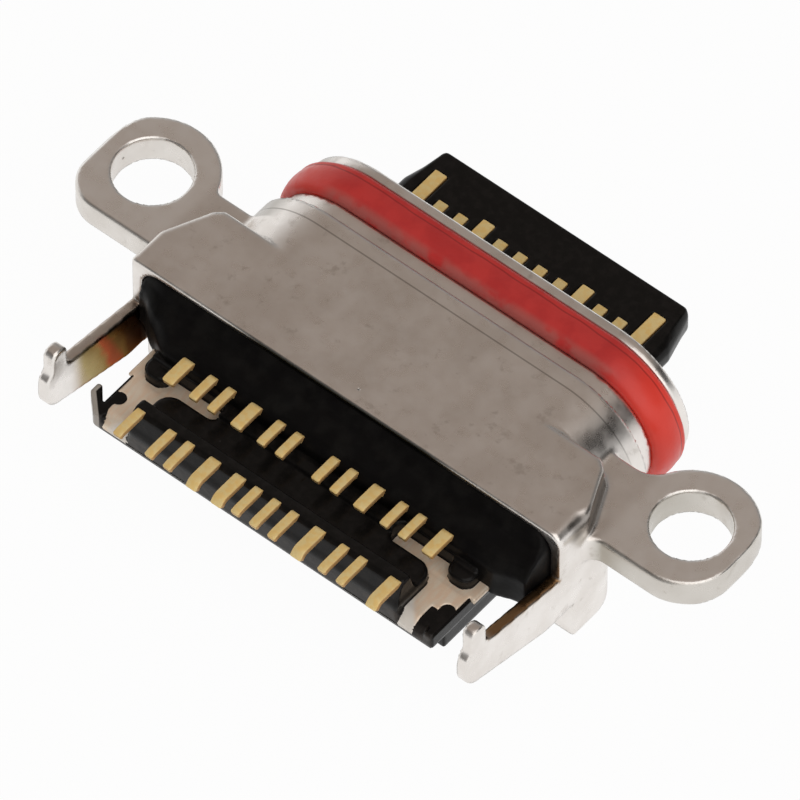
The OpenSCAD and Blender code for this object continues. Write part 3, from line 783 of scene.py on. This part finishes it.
def black_epoxy():
    """Poured black epoxy, softly uneven, with a few gray flecks."""
    finish = Finish("black_epoxy", specular_ior_level=0.07)
    colour = finish.clouds(rgb(15, 14, 14), rgb(24, 23, 22), scale=2.5, detail=4.0, low=0.4, high=0.7)
    flecks = finish.times(finish.spots(scale=1.7, size=0.04, share=0.18), 0.6)
    colour = finish.mix(flecks, colour, rgb(96, 100, 98))
    roughness = finish.wander(0.3, 0.5, scale=3.0, detail=4.0)
    return finish.set(colour=colour, roughness=roughness, normal=finish.bump(finish.noise(2.2), 0.012))


def plate_steel():
    """Warm rolled steel with streaks, with painted sheen on the tabs' inner corners, which are also rougher.
    """
    finish = Finish("plate_steel", metallic=0.3)
    streaks = finish.band(finish.noise(9.0, stretch=(1.0, 0.25, 1.0)), 0.35, 0.65)
    colour = finish.mix(streaks, rgb(254, 229, 202), rgb(255, 240, 219))
    corner_sheen = finish.attribute("corner_sheen")
    # painted sheen: paler on the tabs' inner corners
    colour = finish.mix(corner_sheen, colour, rgb(248, 243, 235))
    roughness = finish.math("ADD", finish.wander(0.34, 0.44, scale=6.0), finish.times(corner_sheen, 0.35))
    return finish.set(colour=colour, roughness=roughness, normal=finish.bump(finish.noise(16.0), 0.002))


def gold_plating():
    """Matt gold plating, with painted shade in copper brown on the strips' sides."""
    finish = Finish("gold_plating", metallic=0.3)
    colour = finish.clouds(rgb(255, 220, 142), rgb(255, 230, 164), scale=7.0)
    # painted shade in copper brown on the strips' sides
    colour = finish.mix(finish.times(finish.attribute("cut"), 0.7), colour, rgb(168, 112, 62))
    roughness = finish.wander(0.54, 0.64, scale=12.0)
    return finish.set(colour=colour, roughness=roughness, normal=finish.bump(finish.noise(40.0), 0.002))


def seal_ring():
    """The seal, as one section carried round the groove: a soft crown with a thin moulding ridge."""
    floor_r, crest_r = 1.47, 1.84
    section = [
        (floor_r, 1.43), (1.56, 1.42), (1.64, 1.428), (1.7, 1.45), (1.75, 1.495), (1.788, 1.56),
        (1.815, 1.65), (crest_r - 0.006, 1.75), (crest_r, 1.84), (crest_r - 0.004, 1.93), (1.824, 2.0),
        (1.814, 2.04), (1.822, 2.07), (1.818, 2.11), (1.805, 2.14), (1.78, 2.168), (1.74, 2.185),
        (1.66, 2.195), (floor_r, 2.19), (floor_r, 2.0), (floor_r, 1.8), (floor_r, 1.6)]
    half, straight_n, turn_n, end_swell = 3.01, 60, 66, 0.03
    path = [(x, 0.0) for x in np.linspace(-half, half, straight_n)]
    path += [(half, a) for a in np.linspace(0, math.pi, turn_n)[1:-1]]
    path += [(x, math.pi) for x in np.linspace(half, -half, straight_n)]
    path += [(-half, a) for a in np.linspace(math.pi, 2 * math.pi, turn_n)[1:-1]]
    points = []
    for x, angle in path:
        swell = 1 + end_swell * math.sin(angle) ** 2
        for radius, y in section:
            points.append((x + radius * swell * math.sin(angle), y, AXIS + radius * math.cos(angle)))
    points = np.array(points)
    n, m = len(path), len(section)
    i, j = np.meshgrid(np.arange(n), np.arange(m), indexing="ij")
    i2, j2 = (i + 1) % n, (j + 1) % m
    quads = np.stack([i * m + j, i * m + j2, i2 * m + j2, i2 * m + j], -1).reshape(-1, 4)
    return add_mesh("seal", points, quads)


def soft_corners(points, radius):
    """A path [x, y, height, width] with each corner turned into an arc."""
    path = [np.array(points[0], float)]
    for before, here, after in zip(points, points[1:], points[2:]):
        before, here, after = (np.array(p, float) for p in (before, here, after))
        for share in np.linspace(0, 1, 6):
            reach_in = min(radius / max(np.linalg.norm(here[:3] - before[:3]), 1e-6), 0.5)
            reach_out = min(radius / max(np.linalg.norm(here[:3] - after[:3]), 1e-6), 0.5)
            start, end = here + (before - here) * reach_in, here + (after - here) * reach_out
            path.append((1 - share) ** 2 * start + 2 * share * (1 - share) * here + share ** 2 * end)
    path.append(np.array(points[-1], float))
    return np.array(path)


def strip(name, points):
    """A contact: a rounded flat strip carried along its path."""
    path = soft_corners(points, 0.07)
    half_t, r = CONTACT_T / 2, 0.02
    cap_share, cap_l = 0.8, 0.02
    rings = []
    tangents = np.gradient(path[:, :3], axis=0)
    for place, along in zip(path, tangents):
        along = along / np.linalg.norm(along)
        up = np.cross((1.0, 0.0, 0.0), along)
        up = up / np.linalg.norm(up) * -1
        half_w = place[3] / 2
        ring = []
        for sx, su in ((1, 1), (-1, 1), (-1, -1), (1, -1)):
            turns = np.radians([15, 45, 75]) if sx * su > 0 else np.radians([75, 45, 15])
            for a in turns:
                ring.append((sx * (half_w - r + r * math.cos(a)), su * (half_t - r + r * math.sin(a))))
        rings.append(np.array([place[:3] + np.array((w, 0, 0)) + up * t for w, t in ring]))
    for place in (0, -1):
        middle = rings[place].mean(0)
        side = 1 if place else -1
        along = tangents[place] / np.linalg.norm(tangents[place])
        outer = middle + (rings[place] - middle) * cap_share + side * along * cap_l
        rings = rings + [outer] if place else [outer] + rings
    points = np.concatenate(rings)
    n, m = len(rings), len(rings[0])
    i, j = np.meshgrid(np.arange(n - 1), np.arange(m), indexing="ij")
    j2 = (j + 1) % m
    quads = np.stack([i * m + j, i * m + j2, (i + 1) * m + j2, (i + 1) * m + j], -1).reshape(-1, 4)
    caps = []
    for base, turn in ((0, -1), ((n - 1) * m, 1)):
        for k in range(1, m - 2, 2):
            caps.append([base + v for v in (0, k, k + 1, k + 2)][::turn])
    piece = add_mesh(name, points, np.concatenate([quads, np.array(caps)]))
    # painted shade on the strip's two sides, none on top and bottom
    mark(piece, "cut", np.tile([1, 0.5, 0, 0, 0.5, 1] * 2, n))
    piece.modifiers.new("Flat", "WEIGHTED_NORMAL").weight = 100
    return piece


def tail_x(steps, place):
    """Where a tail stands, counted from the middle outwards."""
    out = 5 - place if place < 6 else place - 6
    return math.copysign(sum(steps[:out + 1]), place - 5.5)


def upper_contact(place):
    """A contact of the front row: along the tongue, up in the core, back, up to the board and back."""
    x, w = tongue_x(place), strip_w(place)
    end_x, end_w = tail_x(FRONT_STEPS, place), WIDE_TAIL if place in FRONT_WIDE else NARROW_TAIL
    low, high, tail_z = AXIS + TONGUE_RUN, AXIS + UPPER_RUN, -CONTACT_T / 2
    rise_y, upright = -0.295, FRONT_BEND - CONTACT_T / 2
    return strip(f"front_row_{place + 1:02d}", [
        (x, TIP - setback(place), low, w), (x, rise_y, low, w), (x, rise_y, high, w),
        (x, CORE_REAR, high, w), (end_x, FRONT_BEND + 0.13, high, end_w),
        (end_x, upright, high, end_w), (end_x, upright, tail_z, end_w),
        (end_x, FRONT_END + 0.13, tail_z, end_w), (end_x, FRONT_END + 0.05, tail_z - 0.02, end_w)])


def lower_contact(place):
    """A contact of the rear row: along the tongue and under the base, up, back, up to the board and back."""
    x, w = tongue_x(place), strip_w(place)
    wide = place in REAR_WIDE
    end_x, end_w, dip = tail_x(REAR_STEPS, place), WIDE_TAIL if wide else NARROW_TAIL, 0.12 if wide else 0.03
    low, high, tail_z = AXIS - TONGUE_RUN, AXIS + LOWER_RISE, -CONTACT_T / 2
    rise_y, upright = -4.265, REAR_BEND - CONTACT_T / 2
    return strip(f"rear_row_{place + 1:02d}", [
        (x, TIP - setback(place), low, w), (x, CORE_REAR, low, w),
        (end_x, -4.07, low, end_w), (end_x, rise_y, low, end_w), (end_x, rise_y, high, end_w),
        (end_x, upright, high, end_w), (end_x, upright, tail_z, end_w),
        (end_x, REAR_END + 0.16, tail_z, end_w), (end_x, REAR_END + 0.06, tail_z - dip, end_w)])


# Marks for the materials
def mark_shell(piece, points, normals):
    """The roof's filmy rear edge, the legs' temper colours with painted shadow at the root, their brown upper
    faces, painted light on the ear tops and painted shade on the ear walls.
    """
    x, y, z = points.T
    facing_x, facing_y, facing_z = normals.T
    roof_edge = (y < BOX_REAR + 0.1) & (z > 0.35) & (np.abs(x) < 5.0)
    film = np.clip(-facing_y * 2 - 0.6, 0, 1) * (1 - smooth_step(np.abs(x), 2.0, 3.2))
    mark(piece, "film", roof_edge * film)
    on_leg = smooth_step(-y, 2.0, 2.25) * (np.abs(x) > 4.9) * (z < 0.1)
    inner_side = (x < 0) * smooth_step(facing_x, 0.5, 0.8)
    # temper colours, with painted shadow near the leg's root
    mark(piece, "temper_and_root_shade", on_leg * inner_side * smooth_step(y, -4.5, -4.0))
    upper_edge = np.where(x > 0, 1.0, 0.45) * smooth_step(facing_z, 0.4, 0.8)
    mark(piece, "brown", on_leg * upper_edge * smooth_step(y, -4.7, -4.2))
    on_ear = smooth_step(np.abs(x), 5.38, 5.7) * (y > -1.6) * (z > -EAR_T - 0.02)
    facing_up = smooth_step(facing_z, 0.75, 0.99)
    # painted light on the upward ear tops; painted shade on the ear walls, stronger at the right near the box
    mark(piece, "ear_top_painted_light", 0.85 * on_ear * facing_up)
    wall_shade_share = np.where(x > 0, 0.36 + 0.3 * (1 - smooth_step(x, 5.6, 6.7)), 0.18)
    mark(piece, "ear_wall_painted_shade", wall_shade_share * on_ear * (1 - facing_up) * (facing_z > -0.5))


def mark_base(piece, points, normals):
    """Painted sheen on the rear edge of the base, stronger at its ends."""
    x, y, z = points.T
    on_rear = smooth_step(-normals[:, 1], 0.5, 0.9) * (y < -4.6)
    at_ends = 0.4 + 0.6 * smooth_step(np.abs(x), 2.0, 3.3)
    below_ridge = 1 - smooth_step(z, AXIS + PLATE_TOP, AXIS + PLATE_TOP + 0.1)
    mark(piece, "rear_sheen", on_rear * at_ends * below_ridge)


def mark_plate(piece, points):
    """Painted sheen on the inner corners of the plate's tabs."""
    x, y, _ = points.T
    corner = np.abs(x) + 0.9 * (y + 4.45)
    mark(piece, "corner_sheen", smooth_step(-y, 4.1, 4.35) * (1 - smooth_step(corner, 3.45, 3.6)))


# Pieces: the room for each field, low and high, and the step of its mesh
SHELL_ROOM = ((-8.15, -5.27, -3.02), (8.15, 2.6, 0.82), 0.064)
BASE_ROOM = ((-4.78, -4.93, -2.5), (4.78, 4.62, 0.35), 0.056)
POTTING_ROOM = ((-5.2, -3.3, -2.85), (5.2, -1.1, 0.65), 0.06)
PLATE_ROOM = ((-4.5, -4.95, -1.3), (4.5, -1.7, -0.6), 0.04)

shell, shell_points, shell_normals = form("moulded_shell", shell_field, *SHELL_ROOM)
mark_shell(shell, shell_points, shell_normals)
dress(shell, moulded_steel(), "moulded_steel", "shell")

insulator, base_points, base_normals = form("moulded_tongue_and_base", insulator_field, *BASE_ROOM)
mark_base(insulator, base_points, base_normals)
dress(insulator, black_plastic(), "black_plastic", "insulator")

potting, _, _ = form("poured_filling", potting_field, *POTTING_ROOM)
dress(potting, black_epoxy(), "black_epoxy", "potting")

sheet = plate_steel()
plate, plate_points, _ = form("stamped_plate", plate_field, *PLATE_ROOM)
mark_plate(plate, plate_points)
dress(plate, sheet, "plate_steel", "mid_plate")

dress(seal_ring(), red_silicone(), "red_silicone", "seal_ring")

gold = gold_plating()
for place in range(PER_ROW):
    dress(upper_contact(place), gold, "gold_plating", f"upper_contact_{place + 1:02d}")
    dress(lower_contact(place), gold, "gold_plating", f"lower_contact_{place + 1:02d}")

for name in ("ground_pad_upper", "ground_pad_lower"):
    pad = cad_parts[name]
    pad.data.materials.clear()
    pad.data.materials.append(sheet)
    pad.modifiers.new("Join", "WELD").merge_threshold = 0.001 * MM
    edge = pad.modifiers.new("Edge", "BEVEL")
    edge.width, edge.segments = 0.03 * MM, 3

# Floor, light and camera, in metres
FLOOR_SIZE = 3.0
FLOOR_GAP = 0.00002
FLOOR_GLOW = 0.965
DOME_TOP = (0.305, 0.258, 0.226, 1)
KEY_PLACE = (0.09, -0.045, 0.14)
KEY_SIZE = 0.2
KEY_POWER = 0.12
CAMERA_TARGET = (-0.000625, 0.000143, -0.002383)
CAMERA_BACK = (0.383, -0.464, 0.799)
CAMERA_DISTANCE = 0.36
CAMERA_LENS = 833
CAMERA_SENSOR = 36

# Dark cards in the dome: direction, cosines of the edge and the core, and the light left
DARK_CARDS = [((0.72, 0.464, 0.515), 0.91, 0.965, 0.04), ((-0.38, -0.9, 0.22), 0.62, 0.9, 0.25),
              ((-0.3, 0.95, 0.05), 0.75, 0.93, 0.3), ((0.42, 0.87, 0.22), 0.86, 0.96, 0.3)]


def add_floor():
    """A pale floor that looks white."""
    bpy.ops.mesh.primitive_plane_add(size=FLOOR_SIZE, location=(0, 0, cad_box[0][2] - FLOOR_GAP))
    floor = bpy.context.object
    floor.name = "floor"
    finish = Finish("floor_white", base_color=(0.9, 0.9, 0.9, 1), roughness=0.8)
    path = finish.add("ShaderNodeLightPath").outputs
    seen = finish.math("MAXIMUM", path["Is Camera Ray"], path["Is Glossy Ray"])
    seen = finish.math("MAXIMUM", seen, path["Is Transmission Ray"])
    white = finish.add("ShaderNodeEmission", None, {"Color": WHITE, "Strength": 1.0}).outputs[0]
    inputs = {0: finish.times(seen, FLOOR_GLOW), 1: finish.shader.outputs[0], 2: white}
    mixed = finish.add("ShaderNodeMixShader", None, inputs).outputs[0]
    finish.tree.links.new(mixed, finish.tree.nodes["Material Output"].inputs["Surface"])
    floor.data.materials.append(finish.material)


def add_dome():
    """A soft studio dome: white at the horizon, dimmer above, with dark cards for the steel to mirror."""
    world = bpy.data.worlds.new("studio")
    bpy.context.scene.world = world
    world.use_nodes = True
    dome = Nodes(world.node_tree)
    direction = dome.add("ShaderNodeTexCoord").outputs["Generated"]
    height = dome.add("ShaderNodeSeparateXYZ", None, {0: direction}).outputs["Z"]
    colour = dome.ramp(height, [(0.3, WHITE), (0.66, DOME_TOP)])
    for card, edge, core, left in DARK_CARDS:
        nearness = dome.vector("DOT_PRODUCT", {0: direction, 1: Vector(card).normalized()})["Value"]
        shade = dome.band(nearness, edge, core, 1.0, left)
        colour = dome.vector("SCALE", {0: colour, "Scale": shade})[0]
    seen = dome.add("ShaderNodeLightPath").outputs["Is Camera Ray"]
    dome.tree.links.new(dome.mix(seen, colour, WHITE), dome.tree.nodes["Background"].inputs["Color"])


def add_lamp(name, place, size, power):
    """A soft square lamp that faces the object."""
    lamp = bpy.data.lights.new(name, "AREA")
    lamp.size, lamp.energy = size, power
    holder = bpy.data.objects.new(name, lamp)
    holder.location = place
    holder.rotation_euler = (-Vector(place)).to_track_quat("-Z", "Y").to_euler()
    bpy.context.scene.collection.objects.link(holder)


def add_camera():
    """The photograph's view: high behind the right rear corner, through a very long lens."""
    back = Vector(CAMERA_BACK).normalized()
    right = Vector((0, 0, 1)).cross(back).normalized()
    up = back.cross(right)
    camera = bpy.data.cameras.new("camera")
    camera.lens = CAMERA_LENS
    camera.sensor_width = CAMERA_SENSOR
    holder = bpy.data.objects.new("camera", camera)
    turn = Matrix((right, up, back)).transposed().to_4x4()
    holder.matrix_world = Matrix.Translation(Vector(CAMERA_TARGET) + back * CAMERA_DISTANCE) @ turn
    bpy.context.scene.collection.objects.link(holder)
    bpy.context.scene.camera = holder


add_floor()
add_dome()
add_lamp("key", KEY_PLACE, KEY_SIZE, KEY_POWER)
add_camera()
bpy.context.scene.view_settings.view_transform = "Standard"
